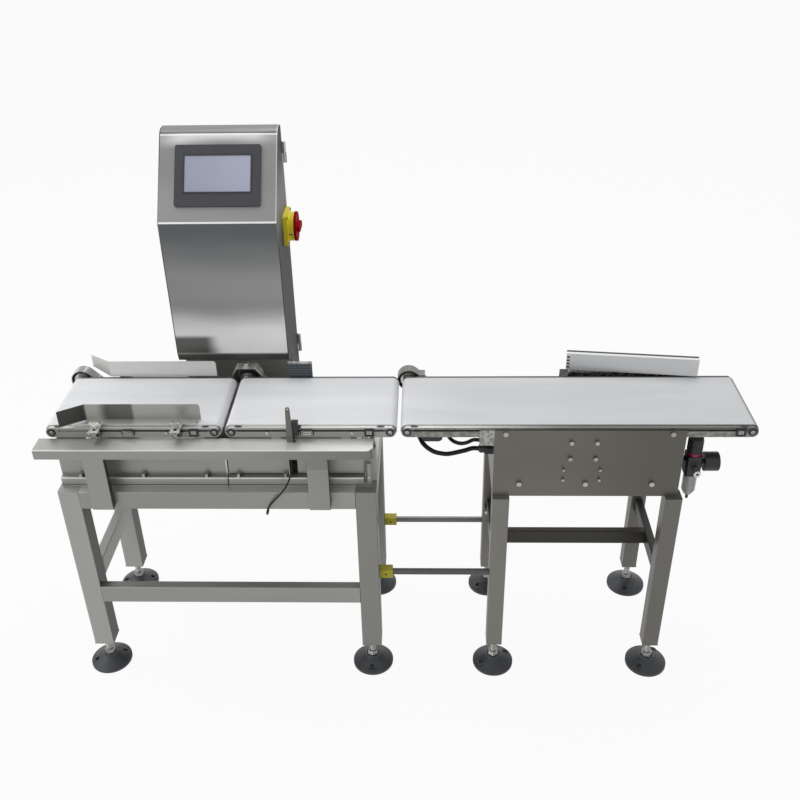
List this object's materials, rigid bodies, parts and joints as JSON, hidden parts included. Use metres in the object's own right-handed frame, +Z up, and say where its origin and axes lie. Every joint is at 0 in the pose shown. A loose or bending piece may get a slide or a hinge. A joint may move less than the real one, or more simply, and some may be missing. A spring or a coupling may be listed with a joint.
{
  "type": "conveyor checkweigher",
  "caption": "In-line checkweigher: infeed, weighing and reject belts on two leg frames, with a sloped control cabinet, photo sensor, swing-arm rejector and levelling feet.",
  "frame": {"origin": "on the floor under the middle of the machine's box", "axes": "+X with the product flow from left to right, +Y from the front to the back, +Z up"},
  "size_m": [1.65, 0.49, 1.316],
  "materials": {
    "steel": "brushed stainless",
    "dark_steel": "dull stainless",
    "aluminium": "satin",
    "belt": "smooth white food belt",
    "black_plastic": "matte",
    "black_metal": "satin",
    "cable": "matte",
    "yellow_plastic": "satin",
    "red_plastic": "satin",
    "bezel": "matte",
    "screen": "plain lit screen",
    "clear_plastic": "clear"
  },
  "bodies": {
    "machine": {"left_legs": "steel", "left_beams": "steel", "right_legs": "steel", "right_beams": "steel", "tie_rods": "steel", "front_guard": "steel", "infeed_base": "steel", "weigh_base": "steel", "hex_bolts": "steel", "drive_covers": "steel", "cabinet_sides": "steel", "cabinet_front": "steel", "guide_clamps": "steel", "box_plates": "dark_steel", "infeed_frame": "aluminium", "weigh_frame": "aluminium", "reject_frame": "aluminium", "load_cell": "aluminium", "arm_actuator": "aluminium", "infeed_belt": "belt", "weigh_belt": "belt", "reject_belt": "belt", "photo_sensor": "black_plastic", "reflector": "black_plastic", "cable_glands": "black_plastic", "regulator_body": "black_plastic", "control_modules": "black_plastic", "drive_motors": "black_metal", "sensor_cable": "cable", "motor_cable": "cable", "signal_cable": "cable", "timing_belts": "cable", "rod_sockets": "yellow_plastic", "switch_base": "yellow_plastic", "hmi_bezel": "bezel", "hmi_screen": "screen", "regulator_bowl": "clear_plastic"},
    "infeed_drive_roller": {"infeed_drive_roller": "dark_steel"},
    "infeed_tail_roller": {"infeed_tail_roller": "dark_steel"},
    "weigh_drive_roller": {"weigh_drive_roller": "dark_steel"},
    "weigh_tail_roller": {"weigh_tail_roller": "dark_steel"},
    "reject_drive_roller": {"reject_drive_roller": "dark_steel"},
    "reject_tail_roller": {"reject_tail_roller": "dark_steel"},
    "infeed_motor_pulley": {"infeed_motor_pulley": "black_metal"},
    "weigh_motor_pulley": {"weigh_motor_pulley": "black_metal"},
    "reject_motor_pulley": {"reject_motor_pulley": "black_metal"},
    "swing_arm": {"swing_arm": "aluminium"},
    "switch_handle": {"switch_handle": "red_plastic"},
    "front_guide": {"front_guide": "steel"},
    "rear_guide": {"rear_guide": "steel"},
    "regulator_knob": {"regulator_knob": "black_plastic"},
    "rear_door": {"rear_door": "steel"},
    "foot_infeed_front": {"foot_infeed_front": "black_plastic"},
    "foot_infeed_rear": {"foot_infeed_rear": "black_plastic"},
    "foot_weigh_front": {"foot_weigh_front": "black_plastic"},
    "foot_weigh_rear": {"foot_weigh_rear": "black_plastic"},
    "foot_reject_front": {"foot_reject_front": "black_plastic"},
    "foot_reject_rear": {"foot_reject_rear": "black_plastic"},
    "foot_exit_front": {"foot_exit_front": "black_plastic"},
    "foot_exit_rear": {"foot_exit_rear": "black_plastic"}
  },
  "joints": [
    {"name": "infeed_drive_spin", "type": "hinge", "parent": "machine", "child": "infeed_drive_roller", "pos_m": [-0.7855, -0.0795, 0.7345], "axis": [0, 1, 0], "continuous": true},
    {"name": "infeed_tail_spin", "type": "hinge", "parent": "machine", "child": "infeed_tail_roller", "pos_m": [-0.4095, -0.0795, 0.7345], "axis": [0, 1, 0], "continuous": true},
    {"name": "infeed_motor_spin", "type": "hinge", "parent": "machine", "child": "infeed_motor_pulley", "pos_m": [-0.7275, -0.0795, 0.6875], "axis": [0, 1, 0], "continuous": true},
    {"name": "weigh_drive_spin", "type": "hinge", "parent": "machine", "child": "weigh_drive_roller", "pos_m": [-0.3705, -0.0795, 0.7345], "axis": [0, 1, 0], "continuous": true},
    {"name": "weigh_tail_spin", "type": "hinge", "parent": "machine", "child": "weigh_tail_roller", "pos_m": [-0.0075, -0.0795, 0.7345], "axis": [0, 1, 0], "continuous": true},
    {"name": "weigh_motor_spin", "type": "hinge", "parent": "machine", "child": "weigh_motor_pulley", "pos_m": [-0.3125, -0.0795, 0.6875], "axis": [0, 1, 0], "continuous": true},
    {"name": "reject_drive_spin", "type": "hinge", "parent": "machine", "child": "reject_drive_roller", "pos_m": [0.0315, -0.0795, 0.7345], "axis": [0, 1, 0], "continuous": true},
    {"name": "reject_tail_spin", "type": "hinge", "parent": "machine", "child": "reject_tail_roller", "pos_m": [0.8095, -0.0795, 0.7345], "axis": [0, 1, 0], "continuous": true},
    {"name": "reject_motor_spin", "type": "hinge", "parent": "machine", "child": "reject_motor_pulley", "pos_m": [0.0895, -0.0795, 0.6875], "axis": [0, 1, 0], "continuous": true},
    {"name": "arm_swing", "type": "hinge", "parent": "machine", "child": "swing_arm", "pos_m": [0.436, 0.065, 0.77], "axis": [0, 0, -1], "range_deg": [0, 40]},
    {"name": "switch_turn", "type": "hinge", "parent": "machine", "child": "switch_handle", "pos_m": [-0.267, 0.187, 1.083], "axis": [1, 0, 0], "range_deg": [0, 90]},
    {"name": "front_guide_slide", "type": "slide", "parent": "machine", "child": "front_guide", "axis": [0, 1, 0], "range_m": [-0.01, 0.01]},
    {"name": "rear_guide_slide", "type": "slide", "parent": "machine", "child": "rear_guide", "axis": [0, -1, 0], "range_m": [-0.01, 0.01]},
    {"name": "regulator_turn", "type": "hinge", "parent": "machine", "child": "regulator_knob", "pos_m": [0.7, -0.1535, 0.66], "axis": [0, 0, 1], "range_deg": [0, 720]},
    {"name": "door_swing", "type": "hinge", "parent": "machine", "child": "rear_door", "pos_m": [-0.262, 0.2382, 1], "axis": [0, 0, -1], "range_deg": [0, 110]},
    {"name": "foot_infeed_front_level", "type": "slide", "parent": "machine", "child": "foot_infeed_front", "axis": [0, 0, 1], "range_m": [-0.02, 0.02]},
    {"name": "foot_infeed_rear_level", "type": "slide", "parent": "machine", "child": "foot_infeed_rear", "axis": [0, 0, 1], "range_m": [-0.02, 0.02]},
    {"name": "foot_weigh_front_level", "type": "slide", "parent": "machine", "child": "foot_weigh_front", "axis": [0, 0, 1], "range_m": [-0.02, 0.02]},
    {"name": "foot_weigh_rear_level", "type": "slide", "parent": "machine", "child": "foot_weigh_rear", "axis": [0, 0, 1], "range_m": [-0.02, 0.02]},
    {"name": "foot_reject_front_level", "type": "slide", "parent": "machine", "child": "foot_reject_front", "axis": [0, 0, 1], "range_m": [-0.02, 0.02]},
    {"name": "foot_reject_rear_level", "type": "slide", "parent": "machine", "child": "foot_reject_rear", "axis": [0, 0, 1], "range_m": [-0.02, 0.02]},
    {"name": "foot_exit_front_level", "type": "slide", "parent": "machine", "child": "foot_exit_front", "axis": [0, 0, 1], "range_m": [-0.02, 0.02]},
    {"name": "foot_exit_rear_level", "type": "slide", "parent": "machine", "child": "foot_exit_rear", "axis": [0, 0, 1], "range_m": [-0.02, 0.02]}
  ],
  "couplings": [
    {"joint": "infeed_tail_spin", "follows": "infeed_drive_spin", "ratio": 1},
    {"joint": "infeed_motor_spin", "follows": "infeed_drive_spin", "ratio": 1.6},
    {"joint": "weigh_tail_spin", "follows": "weigh_drive_spin", "ratio": 1},
    {"joint": "weigh_motor_spin", "follows": "weigh_drive_spin", "ratio": 1.6},
    {"joint": "reject_tail_spin", "follows": "reject_drive_spin", "ratio": 1},
    {"joint": "reject_motor_spin", "follows": "reject_drive_spin", "ratio": 1.6}
  ]
}
